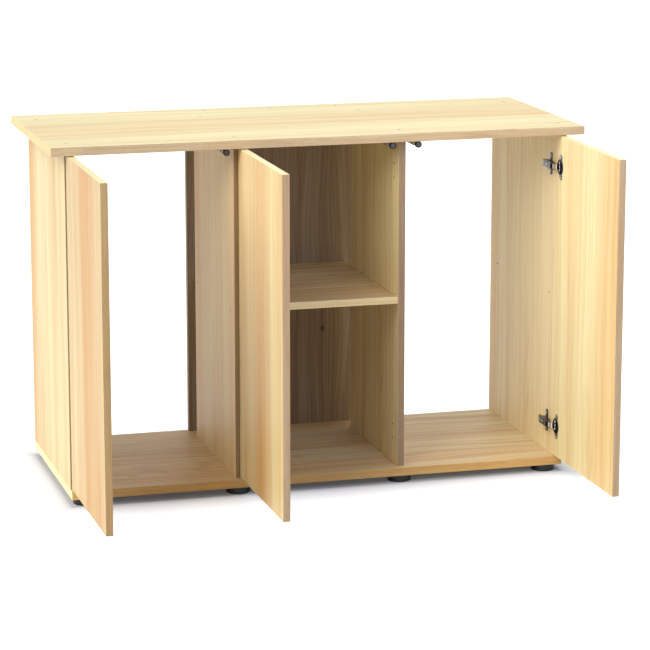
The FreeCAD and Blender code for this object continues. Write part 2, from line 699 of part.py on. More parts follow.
def latch_plunger(x):
    """The sliding rod, its black tip and the magnet in the tip."""
    along = vector(0, 1, 0)
    stem = rod(LATCH_ROD_RADIUS, LATCH_ROD_LENGTH, vector(x, latch_rod_front, latch_axis_z), along)
    front = vector(x, latch_tip_front, latch_axis_z)
    tip = rod(LATCH_TIP_RADIUS, LATCH_TIP_LENGTH, front, along)
    rims = [edge for edge in tip.Edges
            if edge.Closed and abs(edge.CenterOfMass.y - latch_tip_front) < LATCH_TIP_ROUND]
    tip = tip.makeFillet(LATCH_TIP_ROUND, rims)
    tip = tip.cut(rod(LATCH_MAGNET_RADIUS, LATCH_MAGNET_RECESS + LATCH_MAGNET_LENGTH, front, along))
    magnet = rod(LATCH_MAGNET_RADIUS, LATCH_MAGNET_LENGTH, front + vector(0, LATCH_MAGNET_RECESS, 0), along)
    return stem, tip, magnet


def latch_nodes():
    nodes = {"latch_screws": []}
    for name, x in latches.items():
        stem, tip, magnet = latch_plunger(x)
        nodes[name + "_latch_housing"] = [latch_housing(x)]
        nodes[name + "_latch_rod"] = [stem]
        nodes[name + "_latch_tip"] = [tip]
        nodes[name + "_latch_magnet"] = [magnet]
        nodes["latch_screws"] += latch_screws(x)
    return nodes


# Carcass

def upright(name, x0, x1, back, tools):
    """A side or a divider, standing on the bottom and under the top."""
    panel = board(x0, x1, upright_front, back, bay_floor_z, bay_ceiling_z)
    return drilled(panel, tools + shelf_pin_holes(name))


def upright_nodes(tools):
    places = {
        "left_side": (-carcass_half, -side_inner, carcass_back, tools),
        "right_side": (side_inner, carcass_half, carcass_back, tools),
        "left_divider": (-divider_outer, -divider_inner, divider_back, tools),
        "right_divider": (divider_inner, divider_outer, divider_back, tools + spare_hinge_holes()),
    }
    return {name: [upright(name, *place)] for name, place in places.items()}


def carcass_nodes(screw_tools, plate_tools):
    latch_tools = [tool for x in latches.values() for tool in latch_screw_shanks(x)]
    top_half = TOP_WIDTH / 2
    back_half = divider_outer + BACK_PANEL_LAP
    shelf_half = divider_inner - SHELF_SIDE_CLEARANCE
    top = board(-top_half, top_half, top_front, top_back, bay_ceiling_z, top_z)
    bottom = board(-carcass_half, carcass_half, carcass_front, carcass_back, bottom_z, bay_floor_z)
    back = board(-back_half, back_half, back_panel_front, carcass_back, bay_floor_z, bay_ceiling_z)
    shelf = board(-shelf_half, shelf_half, upright_front, back_panel_front, shelf_top_z - BOARD, shelf_top_z)
    nodes = upright_nodes(screw_tools + plate_tools)
    nodes["top_panel"] = [drilled(top, screw_tools + latch_tools)]
    nodes["bottom_panel"] = [drilled(bottom, screw_tools + foot_peg_holes())]
    nodes["back_panel"] = [drilled(back, screw_tools)]
    nodes["centre_shelf"] = [shelf]
    nodes["shelf_pins"] = shelf_pins()
    return nodes


def feet_nodes():
    return {row: [foot(x, y) for x, y in places] for row, places in foot_rows().items()}


def write_node(name, solids):
    shape = solids[0] if len(solids) == 1 else Part.makeCompound(solids)
    shape.exportStep(os.path.join("parts", name + ".step"))


def main():
    os.makedirs("parts", exist_ok=True)
    screws, screw_tools = carcass_screws()
    hinges, plate_tools = hinge_nodes()
    nodes = carcass_nodes(screw_tools, plate_tools)
    nodes.update(screws)
    nodes.update(hinges)
    nodes.update(latch_nodes())
    nodes.update(feet_nodes())
    for name, solids in nodes.items():
        write_node(name, solids)
    print(len(nodes), "nodes")
    print("Turn of a link as its door closes, degrees:", round(math.degrees(link_turn), 3))
    print("Travel of a latch plunger:", round(latch_travel, 3))


main()
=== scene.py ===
"""Looks of an aquarium cabinet: wood-grain boards, hinges, push latches and feet, on a white stage."""
import math
from typing import NamedTuple

import bpy
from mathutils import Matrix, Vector


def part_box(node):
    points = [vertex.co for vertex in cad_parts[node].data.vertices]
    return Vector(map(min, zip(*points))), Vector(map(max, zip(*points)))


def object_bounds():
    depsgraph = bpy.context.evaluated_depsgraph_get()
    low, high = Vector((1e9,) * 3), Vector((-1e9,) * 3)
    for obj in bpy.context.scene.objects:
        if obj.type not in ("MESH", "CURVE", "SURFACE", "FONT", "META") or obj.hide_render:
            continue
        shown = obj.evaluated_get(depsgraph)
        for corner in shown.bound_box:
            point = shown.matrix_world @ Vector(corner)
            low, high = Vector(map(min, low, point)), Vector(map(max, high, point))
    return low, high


bl_info = {
    "name": "Aquarium cabinet",
    "version": (1, 0, 0),
    "blender": (4, 5, 0),
    "location": "3D View > Sidebar > Cabinet",
    "description": "Finishes the boards, hinges, latches and feet of an aquarium cabinet and sets its stage",
    "category": "Object",
}

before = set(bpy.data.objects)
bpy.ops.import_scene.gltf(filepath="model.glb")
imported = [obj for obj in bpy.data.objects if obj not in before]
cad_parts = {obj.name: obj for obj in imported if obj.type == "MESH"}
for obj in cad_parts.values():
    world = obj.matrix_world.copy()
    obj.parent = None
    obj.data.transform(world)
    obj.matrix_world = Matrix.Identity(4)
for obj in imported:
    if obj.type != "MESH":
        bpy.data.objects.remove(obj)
CAD_LOW, CAD_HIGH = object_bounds()
MM = 0.001
AXES = "XYZ"
WHITE = "#FFFFFF"
DOOR_NAMES = ("left", "centre", "right")
HINGE_LEVELS = ("upper", "lower")

# A face is an edge or an end of its board where its normal is within about 45 degrees of that side's.
FACING = 0.7
# Warmth of the wood, and strength of the grain, on the bands along the edges and on the ends. The ends are
# drawn paler and with fainter grain: painted light, standing in for the light on them, such as on the tops of
# the doors.
EDGE_WARMTH = 0.2
EDGE_FIGURE = 0.5
END_WARMTH_PAINTED_LIGHT = -0.4
END_FIGURE_PAINTED_LIGHT = 0.25
# How much warmer the middle of a board's warm band is than the rest, and how much other bands may add.
WARM_BAND = 0.55
OTHER_BANDS = 0.4
# Width of the grain's wandering and how far it goes aside, as shares of the width of the colour bands.
WANDER_WIDTH = 1.6
WANDER_REACH = 0.7
# Darkness at the start and end of a ring, and at places between: it grows slowly and ends sharply.
RING_ENDS = (0.08, 0.0)
RING_STEPS = ((0.60, 0.22), (0.88, 1.0))
# How many ring widths a ring may be off, how strong the rings are where they show least, and what is added.
RING_JITTER = 2.4
RING_LEAST = 0.06
RING_MORE = 0.30
# How strongly each kind of mark tints the wood.
MARK_STRENGTHS = {"ring": 1.2, "stripe": 0.36, "streak": 0.42, "fibre": 0.36, "pore": 0.30}
# The embossing: strength and depth of the pores, and the height of the streaks against them.
EMBOSSING = 0.2
PORE_DEPTH = 0.08 * MM
STREAK_HEIGHT = -0.3
# A pin knot is darkest inside the first radius and gone at the second, and longer along the grain.
KNOT_RADII = (1.5 * MM, 6 * MM)
KNOT_STRENGTH = 0.9
KNOT_SHAPE = (1.0, 1.0, 0.6)
# A point this far inside a board's box lies in a drilled hole.
CORE_INSET = 0.4 * MM

# Noise mostly keeps between these two levels.
NOISE_LEVELS = (0.3, 0.7)
# Plated metal: least and most roughness as shares of its own, the tone of the bright spots, and the relief.
POLISH_RANGE = (0.75, 1.3)
POLISH_TONE = "#F4F2EE"
POLISH_RELIEF = 0.12
POLISH_DEPTH = 0.05 * MM
# Moulded plastic: darkest and lightest tone as shares of its colour, and the relief of the mould's texture.
MOULD_TONES = (0.85, 1.15)
MOULD_RELIEF = 0.3
MOULD_DEPTH = 0.06 * MM

# The way to the middle of the bright side of the surroundings, and the levels along it where they change.
BRIGHT_WAY = (-0.25, 0.80, 0.55)
BRIGHT_EDGE = (-0.25, 0.8)
FLOOR_SIZE = 80.0
# The floor's paint is a little blue, so that it looks neutral under the warm key.
FLOOR_PAINT = "#BCC0D0"
FLOOR_BOUNCE = "#DCDCD8"
# Glow of the floor close to the cabinet, a faint painted light in the shade under it, and what is added
# further out. The glow fading in towards the cabinet paints the shadow round it.
FLOOR_PAINTED_LIGHT_UNDER = 0.06
FLOOR_GLOW_PAST_PAINTED_SHADOW = 0.94
KEY_DISTANCE = 4.0
SENSOR_WIDTH = 36.0
CLIP_END = 200.0


class BoardCut(NamedTuple):
    """How one board was cut from the printed sheet.

    The heart of the figure and the middle and half width of the warm band are shares of the board's own
    width, and the tip of the arches is a share of its length. Warmth is how warm the rest of the board is.
    Figure is how strongly the grain shows; it is turned down on the most brightly lit boards, which paints
    the washed-out look of strong light. Face, edge and end tint the faces, the bands along the edges and the
    bands on the ends. Besides the wood's tone, these tints paint shade: the back panel's face and the front
    edges of the sides and dividers beside the open doors are darkened as painted shade. A knot is given by
    its shares of the width and the length.
    """
    grain: str
    heart: float
    tip: float
    warm: float
    warm_width: float
    warmth: float
    figure: float
    face: str
    edge: str
    knot: tuple = ()
    end: str = WHITE


# The grain runs along the long boards and up the uprights and doors.
BOARD_CUTS = {
    "top_panel": BoardCut("X", 0.42, 0.20, 0.48, 0.28, -0.25, 0.50, WHITE, "#E6E5F2", end="#F0E0D2"),
    "bottom_panel": BoardCut("X", 0.30, 0.75, 1.50, 0.30, 0.10, 1.10, "#FAF7FA", "#EED6B4"),
    "centre_shelf": BoardCut("X", 0.60, 0.10, 1.50, 0.30, 0.05, 1.20, "#EAE6E8", WHITE),
    # The dark edge tints of the sides and dividers are painted shade, for the shadow of the open doors on
    # their front edges.
    "left_side": BoardCut("Z", 0.75, 0.40, 0.98, 0.30, 0.05, 0.60, "#F2F1F4", "#BEB6B8"),
    "right_side": BoardCut("Z", 0.45, 0.55, 1.00, 0.25, -0.25, 0.50, "#FFFAFF", "#E6E2E2"),
    "left_divider": BoardCut("Z", 0.55, 0.30, 1.00, 0.20, -0.05, 0.42, "#FFFAFF", "#B2AAAE"),
    "right_divider": BoardCut("Z", 0.40, 0.65, 1.50, 0.35, -0.20, 0.70, "#FFFCFF", "#AEA4AE"),
    # The back panel's dark grey tint is painted shade, for the shade at the back of the bays.
    "back_panel": BoardCut("Z", 0.35, 0.50, 0.30, 0.35, -0.20, 1.10, "#AEA6AE", "#B8B0B2", (0.81, 0.31)),
    # The doors' edge tints are darker than their faces: partly the edge band's own tone, partly painted
    # shade.
    "left_door": BoardCut("Z", 0.20, 0.35, 0.35, 0.60, 0.10, 0.70, "#EEEDF3", "#CEC2BA"),
    "centre_door": BoardCut("Z", 0.55, 0.42, 0.50, 0.30, 0.08, 0.55, WHITE, "#D2CAD8"),
    "right_door": BoardCut("Z", 0.42, 0.30, 0.05, 0.50, -0.05, 0.50, WHITE, "#D2CCD8"),
}


class BoardAxes(NamedTuple):
    """A board's axes across the grain, through the thickness and along the grain, and its box."""
    across: int
    through: int
    along: int
    low: Vector
    extent: Vector

    def place(self, width_share, length_share):
        """A place on the board's lowest face, as across, through and along."""
        return (self.low[self.across] + width_share * self.extent[self.across],
                self.low[self.through],
                self.low[self.along] + length_share * self.extent[self.along])


class PrintLayer(NamedTuple):
    """One layer of the print: its size across and along the grain, its detail and the levels it is cut at."""
    width: float
    length: float
    detail: float
    low: float
    high: float


class Surface(NamedTuple):
    """A fitting's roughness, the size of its pattern and, for plastics, how strongly it reflects."""
    roughness: float
    pattern: float
    gloss: float = 0.5


# Plating has patches of polish one to three millimetres wide. A mould's texture is really about 0.1 mm wide,
# too fine to show, so it is drawn coarser.
SURFACES = {
    "nickel_plated_steel": Surface(0.30, 3 * MM),
    "bright_nickel_steel_and_highlight": Surface(0.20, 2 * MM),
    "zinc_plated_steel": Surface(0.36, 1.5 * MM),
    "plated_magnet": Surface(0.34, 1.0 * MM),
    "grey_abs": Surface(0.42, 0.6 * MM),
    "grey_acetal": Surface(0.34, 0.8 * MM),
    "black_acetal": Surface(0.5, 0.8 * MM, 0.2),
    "black_polypropylene": Surface(0.36, 0.9 * MM),
}


def linear(hex_colour):
    """An sRGB hex colour as linear red, green, blue and alpha."""
    levels = [int(hex_colour[at:at + 2], 16) / 255 for at in (1, 3, 5)]
    return tuple(v / 12.92 if v <= 0.04045 else ((v + 0.055) / 1.055) ** 2.4 for v in levels) + (1.0,)


def plug(tree, node, inputs):
    """Fill a node's inputs. Each takes a plain value, or the node or socket that it is linked from."""
    for name, value in inputs.items():
        by_name = [socket for socket in node.inputs if socket.name == name and socket.enabled]
        socket = by_name[0] if by_name else node.inputs[name]
        if isinstance(value, bpy.types.Node):
            value = next(output for output in value.outputs if output.enabled)
        if isinstance(value, bpy.types.NodeSocket):
            tree.links.new(value, socket)
        else:
            socket.default_value = value


def add(tree, kind, inputs=None, **settings):
    """Add a node with its settings, its values and its links."""
    node = tree.nodes.new(kind)
    for name, value in settings.items():
        setattr(node, name, value)
    plug(tree, node, inputs or {})
    return node


def stretch(width, length):
    """Scale of a pattern whose features are that wide across the grain and that long along it."""
    return 1 / width, 1 / width, 1 / length


def empty_tree(owner):
    """The node tree of a material or a world, cleared."""
    owner.use_nodes = True
    owner.node_tree.nodes.clear()
    return owner.node_tree


def new_material(name):
    """A material with its tree and its shader."""
    material = bpy.data.materials.new(name)
    tree = empty_tree(material)
    shader = add(tree, "ShaderNodeBsdfPrincipled")
    add(tree, "ShaderNodeOutputMaterial", {"Surface": shader})
    return material, tree, shader


def dress(node_name, material):
    """Put a material on every slot of a CAD node."""
    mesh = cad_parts[node_name].data
    mesh.materials.clear()
    mesh.materials.append(material)


class BoardFinish(bpy.types.PropertyGroup):
    """Colours and grain sizes of the wood-grain boards."""
    pale: bpy.props.StringProperty(
        name="Pale wood", description="Colour between the growth rings", default="#FFF7CC")
    warm: bpy.props.StringProperty(
        name="Warm wood", description="Colour of the broad warm bands", default="#E8B878")
    late: bpy.props.StringProperty(
        name="Late wood", description="Colour of the lines that end a ring", default="#B99268")
    pore: bpy.props.StringProperty(
        name="Pores", description="Colour of the fine dark dashes", default="#9E8058")
    knot: bpy.props.StringProperty(
        name="Knots", description="Colour of the pin knots", default="#4A331F")
    # The core colours are much darker than bare chipboard: painted shade inside the drilled holes.
    core_dark_and_shade: bpy.props.StringProperty(
        name="Core dark", description="Middle of the chips in the board's core", default="#1F160E")
    core_light_and_shade: bpy.props.StringProperty(
        name="Core light", description="Rim of the chips in the board's core", default="#4A3622")
    band_width: bpy.props.FloatProperty(
        name="Band width", description="Width of the broad colour bands", default=75 * MM, unit="LENGTH")
    ring_width: bpy.props.FloatProperty(
        name="Ring width", description="Distance from one growth ring to the next", default=13 * MM,
        unit="LENGTH")
    # Real streaks are about 1 mm wide and pores about 0.3 mm, too fine to show, so both are drawn coarser.
    streak_width: bpy.props.FloatProperty(
        name="Streak width", description="Width of the narrow streaks", default=3.6 * MM, unit="LENGTH")
    pore_width: bpy.props.FloatProperty(
        name="Pore width", description="Width of a pore, drawn as coarse as it needs to show",
        default=1.8 * MM, unit="LENGTH")
    ring_slant: bpy.props.FloatProperty(
        name="Ring slant", description="How steeply the board was cut through the rings", default=0.11)
    figure_length: bpy.props.FloatProperty(
        name="Figure length", description="Length over which the grain wanders", default=450 * MM,
        unit="LENGTH")
    chip_size: bpy.props.FloatProperty(
        name="Chip size", description="Size of the chips in the board's core", default=2.5 * MM,
        unit="LENGTH")
    roughness: bpy.props.FloatProperty(
        name="Roughness", description="Roughness of the melamine face", default=0.5, subtype="FACTOR")
    sheen: bpy.props.FloatProperty(
        name="Sheen", description="Strength of the melamine's reflection", default=0.30, subtype="FACTOR")


class FittingFinish(bpy.types.PropertyGroup):
    """Colours of the hinges, screws, latches and feet."""
    # The dark nickel is partly painted reflection, standing in for dark surroundings mirrored in the plating.
    dark_nickel_and_reflection: bpy.props.StringProperty(
        name="Nickel", description="Plating of the hinges", default="#4A4C50")
    # The bright nickel of the links and pins is partly a painted highlight.
    bright_nickel_and_highlight: bpy.props.StringProperty(
        name="Bright nickel", description="Polished plating of the hinge links and pins", default="#DAD8D4")
    zinc: bpy.props.StringProperty(
        name="Zinc", description="Plating of the screws and pins", default="#A9A69F")
    foot_black: bpy.props.StringProperty(
        name="Foot black", description="Moulded feet", default="#121214")
    tip_black: bpy.props.StringProperty(
        name="Tip black", description="Latch tips", default="#0C0C0D")
    housing_grey: bpy.props.StringProperty(
        name="Housing grey", description="Latch housings", default="#8E9296")
    # The magnet's dark tone is partly painted reflection.
    magnet: bpy.props.StringProperty(
        name="Magnet", description="Plating of the latch magnets", default="#3E4044")
    rod_grey: bpy.props.StringProperty(
        name="Rod grey", description="Latch rods", default="#B9BDC0")


class StageSettings(bpy.types.PropertyGroup):
    """Camera, lights and floor."""
    camera_place: bpy.props.FloatVectorProperty(
        name="Camera place", description="Where the camera stands", default=(-1.6435, -5.9465, 1.7078),
        subtype="TRANSLATION")
    camera_yaw: bpy.props.FloatProperty(
        name="Camera yaw", description="Turn of the view from straight back towards the right",
        default=math.radians(15.662), subtype="ANGLE")
    camera_pitch: bpy.props.FloatProperty(
        name="Camera pitch", description="How far the view looks down", default=math.radians(12.299),
        subtype="ANGLE")
    lens: bpy.props.FloatProperty(
        name="Lens", description="Focal length on a 36 mm wide sensor", default=156.0, unit="CAMERA")
    key_from: bpy.props.FloatVectorProperty(
        name="Key from", description="Direction that the large soft light comes from",
        default=(-0.72, -0.33, 0.61), subtype="DIRECTION")
    key_spread: bpy.props.FloatProperty(
        name="Key spread", description="How wide the soft light looks from the cabinet",
        default=math.radians(55), subtype="ANGLE")
    key_strength: bpy.props.FloatProperty(
        name="Key strength", description="Strength of the soft light", default=3.1)
    key_colour: bpy.props.StringProperty(
        name="Key colour", description="Tint of the soft light", default="#FFF7DE")
    fill_place: bpy.props.FloatVectorProperty(
        name="Fill place", description="Middle of the weaker light in front", default=(0.30, -1.20, 1.25),
        subtype="TRANSLATION")
    fill_size: bpy.props.FloatProperty(
        name="Fill size", description="Side of the weaker light in front", default=0.9, unit="LENGTH")
    fill_power: bpy.props.FloatProperty(
        name="Fill power", description="Power of the weaker light", default=8.5, unit="POWER")
    fill_colour: bpy.props.StringProperty(
        name="Fill colour", description="Tint of the weaker light", default="#D3E1FF")
    sky_bright: bpy.props.FloatProperty(
        name="Bright side", description="Strength of the surroundings behind and on the left", default=0.62)
    sky_dim: bpy.props.FloatProperty(
        name="Dim side", description="Strength of the surroundings in front and on the right", default=0.02)
    # The floor's shadow is painted by its glow, which fades in over this reach.
    painted_shadow_reach: bpy.props.FloatProperty(
        name="Shadow reach", description="How far the floor's shadow goes past the carcass", default=0.15,
        unit="LENGTH")


def board_axes(node_name, cut):
    """The axes and the box of a board."""
    low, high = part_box(node_name)
    extent = high - low
    along = AXES.index(cut.grain)
    through = min(range(3), key=lambda axis: extent[axis])
    across = 3 - along - through
    return BoardAxes(across, through, along, low, extent)


def grain_group(finish):
    """Node group of the printed grain: wandering growth rings, colour bands, streaks and pores.

    It takes a place on the board, as across, through and along from the heart of the figure, the warmth of
    the wood there and the strength of the grain. It gives the colour and the height of the embossing.
    """
    tree = bpy.data.node_groups.new("oak_print", "ShaderNodeTree")
    sockets = (
        ("Place", "INPUT", "NodeSocketVector"),
        ("Warmth", "INPUT", "NodeSocketFloat"),
        ("Figure", "INPUT", "NodeSocketFloat"),
        ("Colour", "OUTPUT", "NodeSocketColor"),
        ("Height", "OUTPUT", "NodeSocketFloat"),
    )
    for name, way, kind in sockets:
        tree.interface.new_socket(name, in_out=way, socket_type=kind)
    given = add(tree, "NodeGroupInput").outputs
    place = given["Place"]
    band = finish.band_width
    length = finish.figure_length

    # The grain wanders sideways along the board.
    mapped = add(tree, "ShaderNodeMapping", {"Vector": place, "Scale": stretch(WANDER_WIDTH * band, length)})
    wander = add(tree, "ShaderNodeTexNoise", {"Vector": mapped, "Scale": 1.0, "Detail": 1.0})
    aside = add(tree, "ShaderNodeMath", {0: wander, 1: 0.5}, operation="SUBTRACT")
    parts = add(tree, "ShaderNodeSeparateXYZ", {"Vector": place}).outputs
    across = add(tree, "ShaderNodeMath", {0: aside, 1: WANDER_REACH * band, 2: parts[0]},
                 operation="MULTIPLY_ADD")
    drifted = add(tree, "ShaderNodeCombineXYZ", {"X": across, "Y": parts[1], "Z": parts[2]})

    # Each layer of noise is drawn out along the grain, then spread to the range from zero to one.
    layers = {
        "shown": PrintLayer(band, 1.5 * length, 1.0, 0.35, 0.75),
        "jitter": PrintLayer(0.5 * band, length, 2.0, 0.0, 1.0),
        "band": PrintLayer(band, 4.0 * length, 2.0, 0.36, 0.66),
        "stripe": PrintLayer(0.3 * band, 3.0 * length, 3.0, 0.45, 0.72),
        "streak": PrintLayer(finish.streak_width, 1.6 * length, 3.0, 0.40, 0.70),
        "fibre": PrintLayer(0.45 * finish.streak_width, 0.6 * length, 2.0, 0.35, 0.70),
        "pore": PrintLayer(finish.pore_width, 0.16 * length, 2.0, 0.56, 0.74),
    }
    drawn = {}
    for name, layer in layers.items():
        scale = stretch(layer.width, layer.length)
        mapped = add(tree, "ShaderNodeMapping", {"Vector": drifted, "Scale": scale})
        noise = add(tree, "ShaderNodeTexNoise", {"Vector": mapped, "Scale": 1.0, "Detail": layer.detail})
        drawn[name] = add(tree, "ShaderNodeMapRange",
                          {"Value": noise, "From Min": layer.low, "From Max": layer.high},
                          interpolation_type="SMOOTHSTEP")

    # Rings cut at a slant show as long arches round the heart and as straight lines away from it.
    slant = add(tree, "ShaderNodeMath", {0: parts[2], 1: finish.ring_slant}, operation="MULTIPLY")
    flat = add(tree, "ShaderNodeCombineXYZ", {"X": across, "Y": slant})
    from_heart = add(tree, "ShaderNodeVectorMath", {0: flat}, operation="LENGTH")
    deep = add(tree, "ShaderNodeMath", {0: from_heart, 1: parts[1]}, operation="ADD")
    count = add(tree, "ShaderNodeMath", {0: deep, 1: finish.ring_width}, operation="DIVIDE")
    uneven = add(tree, "ShaderNodeMath", {0: drawn["jitter"], 1: RING_JITTER, 2: count},
                 operation="MULTIPLY_ADD")
    ring = add(tree, "ShaderNodeMath", {0: uneven}, operation="FRACT")
    late = add(tree, "ShaderNodeValToRGB", {"Fac": ring})
    stops = late.color_ramp.elements
    for stop, level in zip(stops, RING_ENDS):
        stop.color = (level, level, level, 1)
    for position, level in RING_STEPS:
        stops.new(position).color = (level, level, level, 1)
    share = add(tree, "ShaderNodeMath", {0: drawn["shown"], 1: RING_MORE, 2: RING_LEAST},
                operation="MULTIPLY_ADD")
    drawn["ring"] = add(tree, "ShaderNodeMath", {0: late, 1: share}, operation="MULTIPLY")

    warmth = add(tree, "ShaderNodeMath", {0: drawn["band"], 1: OTHER_BANDS, 2: given["Warmth"]},
                 operation="MULTIPLY_ADD", use_clamp=True)
    colour = add(tree, "ShaderNodeMix",
                 {"Factor": warmth, "A": linear(finish.pale), "B": linear(finish.warm)}, data_type="RGBA")
    for name, strength in MARK_STRENGTHS.items():
        tint = finish.pore if name == "pore" else finish.late
        amount = add(tree, "ShaderNodeMath", {0: drawn[name], 1: strength}, operation="MULTIPLY")
        amount = add(tree, "ShaderNodeMath", {0: amount, 1: given["Figure"]}, operation="MULTIPLY")
        colour = add(tree, "ShaderNodeMix", {"Factor": amount, "A": colour, "B": linear(tint)},
                     data_type="RGBA")
    height = add(tree, "ShaderNodeMath", {0: drawn["streak"], 1: STREAK_HEIGHT, 2: drawn["pore"]},
                 operation="MULTIPLY_ADD")
    add(tree, "NodeGroupOutput", {"Colour": colour, "Height": height})
    return tree


def with_knot(tree, colour, face, knot_at, finish):
    """A board's colour with a pin knot in one face, a few millimetres across."""
    beside = add(tree, "ShaderNodeVectorMath", {0: face, 1: knot_at}, operation="SUBTRACT")
    shaped = add(tree, "ShaderNodeVectorMath", {0: beside, 1: KNOT_SHAPE}, operation="MULTIPLY")
    apart = add(tree, "ShaderNodeVectorMath", {0: shaped}, operation="LENGTH")
    dark = add(tree, "ShaderNodeMapRange",
               {"Value": apart, "From Min": KNOT_RADII[0], "From Max": KNOT_RADII[1],
                "To Min": KNOT_STRENGTH, "To Max": 0.0}, interpolation_type="SMOOTHSTEP")
    return add(tree, "ShaderNodeMix", {"Factor": dark, "A": colour, "B": linear(finish.knot)},
               data_type="RGBA")


def with_core_and_shade(tree, colour, where, board, finish):
    """A board's colour, with a dark brown inside its drilled holes: bare chipboard, drawn darker than it is
    as painted shade in the holes.
    """
    middle = board.low + board.extent / 2
    inset = board.extent / 2 - Vector((CORE_INSET, CORE_INSET, CORE_INSET))
    offset = add(tree, "ShaderNodeVectorMath", {0: where, 1: middle}, operation="SUBTRACT")
    reach = add(tree, "ShaderNodeVectorMath", {0: offset}, operation="ABSOLUTE")
    depth = add(tree, "ShaderNodeVectorMath", {0: inset, 1: reach}, operation="SUBTRACT")
    room = add(tree, "ShaderNodeSeparateXYZ", {"Vector": depth}).outputs
    least = add(tree, "ShaderNodeMath", {0: room[0], 1: room[1]}, operation="MINIMUM")
    least = add(tree, "ShaderNodeMath", {0: least, 1: room[2]}, operation="MINIMUM")
    inside = add(tree, "ShaderNodeMath", {0: least, 1: 0.0}, operation="GREATER_THAN")
    chips = add(tree, "ShaderNodeTexVoronoi", {"Vector": where, "Scale": 1 / finish.chip_size})
    core_and_shade = add(tree, "ShaderNodeMix",
               {"Factor": chips.outputs["Distance"], "A": linear(finish.core_dark_and_shade),
                "B": linear(finish.core_light_and_shade)}, data_type="RGBA")
    return add(tree, "ShaderNodeMix", {"Factor": inside, "A": colour, "B": core_and_shade}, data_type="RGBA")


def oak_melamine(node_name, cut, group, finish):
    """Oak print on melamine-faced board: pale and satin, with embossed pores and edge bands to match, and
    tints that paint shade and light on some boards.
    """
    board = board_axes(node_name, cut)
    material, tree, shader = new_material("oak_melamine_" + node_name)
    where = add(tree, "ShaderNodeTexCoord").outputs
    parts = add(tree, "ShaderNodeSeparateXYZ", {"Vector": where["Object"]}).outputs
    facing = add(tree, "ShaderNodeSeparateXYZ", {"Vector": where["Normal"]}).outputs
    across = parts[board.across]
    through = parts[board.through]
    along = parts[board.along]
    narrow = []
    for axis in (board.across, board.along):
        lean = add(tree, "ShaderNodeMath", {0: facing[axis]}, operation="ABSOLUTE")
        narrow.append(add(tree, "ShaderNodeMath", {0: lean, 1: FACING}, operation="GREATER_THAN"))
    is_edge, is_end = narrow

    # An end's band runs along the end, so its grain turns with it.
    face = add(tree, "ShaderNodeCombineXYZ", {"X": across, "Y": through, "Z": along})
    end = add(tree, "ShaderNodeCombineXYZ", {"X": through, "Y": along, "Z": across})
    place = add(tree, "ShaderNodeMix", {"Factor": is_end, "A": face, "B": end}, data_type="VECTOR")
    centred = add(tree, "ShaderNodeVectorMath", {0: place, 1: board.place(cut.heart, cut.tip)},
                  operation="SUBTRACT")

    # The bands on the edges and ends are cut from plain strips, so they have no warm band of their own.
    warm_middle = board.place(cut.warm, 0.0)[0]
    offset = add(tree, "ShaderNodeMath", {0: across, 1: warm_middle}, operation="SUBTRACT")
    distance = add(tree, "ShaderNodeMath", {0: offset}, operation="ABSOLUTE")
    warmth = add(tree, "ShaderNodeMapRange",
                 {"Value": distance, "From Min": 0.0, "From Max": cut.warm_width * board.extent[board.across],
                  "To Min": cut.warmth + WARM_BAND, "To Max": cut.warmth}, interpolation_type="SMOOTHSTEP")
    figure = cut.figure
    tint = linear(cut.face)
    # The ends' paler colour and fainter grain are painted light, and the edge and end tints paint shade on
    # some boards.
    for strip, own_warmth in ((is_end, END_WARMTH_PAINTED_LIGHT), (is_edge, EDGE_WARMTH)):
        warmth = add(tree, "ShaderNodeMix", {"Factor": strip, "A": warmth, "B": own_warmth},
                     data_type="FLOAT")
    for strip, own_figure, own_tint_and_shade in ((is_edge, EDGE_FIGURE, cut.edge), (is_end, END_FIGURE_PAINTED_LIGHT, cut.end)):
        figure = add(tree, "ShaderNodeMix", {"Factor": strip, "A": figure, "B": own_figure},
                     data_type="FLOAT")
        tint = add(tree, "ShaderNodeMix", {"Factor": strip, "A": tint, "B": linear(own_tint_and_shade)},
                   data_type="RGBA")

    grain = add(tree, "ShaderNodeGroup", {"Place": centred, "Warmth": warmth, "Figure": figure},
                node_tree=group).outputs
    colour = add(tree, "ShaderNodeMix", {"Factor": 1.0, "A": grain["Colour"], "B": tint},
                 data_type="RGBA", blend_type="MULTIPLY")
    if cut.knot:
        colour = with_knot(tree, colour, face, board.place(*cut.knot), finish)
    colour = with_core_and_shade(tree, colour, where["Object"], board, finish)
    bump = add(tree, "ShaderNodeBump",
               {"Strength": EMBOSSING, "Distance": PORE_DEPTH, "Height": grain["Height"]}, invert=True)
    plug(tree, shader, {"Base Color": colour, "Normal": bump, "Roughness": finish.roughness,
                        "Specular IOR Level": finish.sheen})
    return material


def plated_metal(name, colour):
    """Plated metal: it mirrors what is round it, blurred a little by the uneven polish of the plating."""
    surface = SURFACES[name]
    material, tree, shader = new_material(name)
    where = add(tree, "ShaderNodeTexCoord").outputs["Object"]
    polish = add(tree, "ShaderNodeTexNoise",
                 {"Vector": where, "Scale": 1 / surface.pattern, "Detail": 3.0, "Roughness": 0.6})
    least, most = POLISH_RANGE
    uneven = add(tree, "ShaderNodeMapRange",
                 {"Value": polish, "From Min": NOISE_LEVELS[0], "From Max": NOISE_LEVELS[1],
                  "To Min": least * surface.roughness, "To Max": most * surface.roughness})
    tone = add(tree, "ShaderNodeMix", {"Factor": polish, "A": linear(colour), "B": linear(POLISH_TONE)},
               data_type="RGBA", blend_type="SOFT_LIGHT")
    bump = add(tree, "ShaderNodeBump",
               {"Strength": POLISH_RELIEF, "Distance": POLISH_DEPTH, "Height": polish})
    plug(tree, shader, {"Base Color": tone, "Roughness": uneven, "Normal": bump, "Metallic": 1.0})
    return material


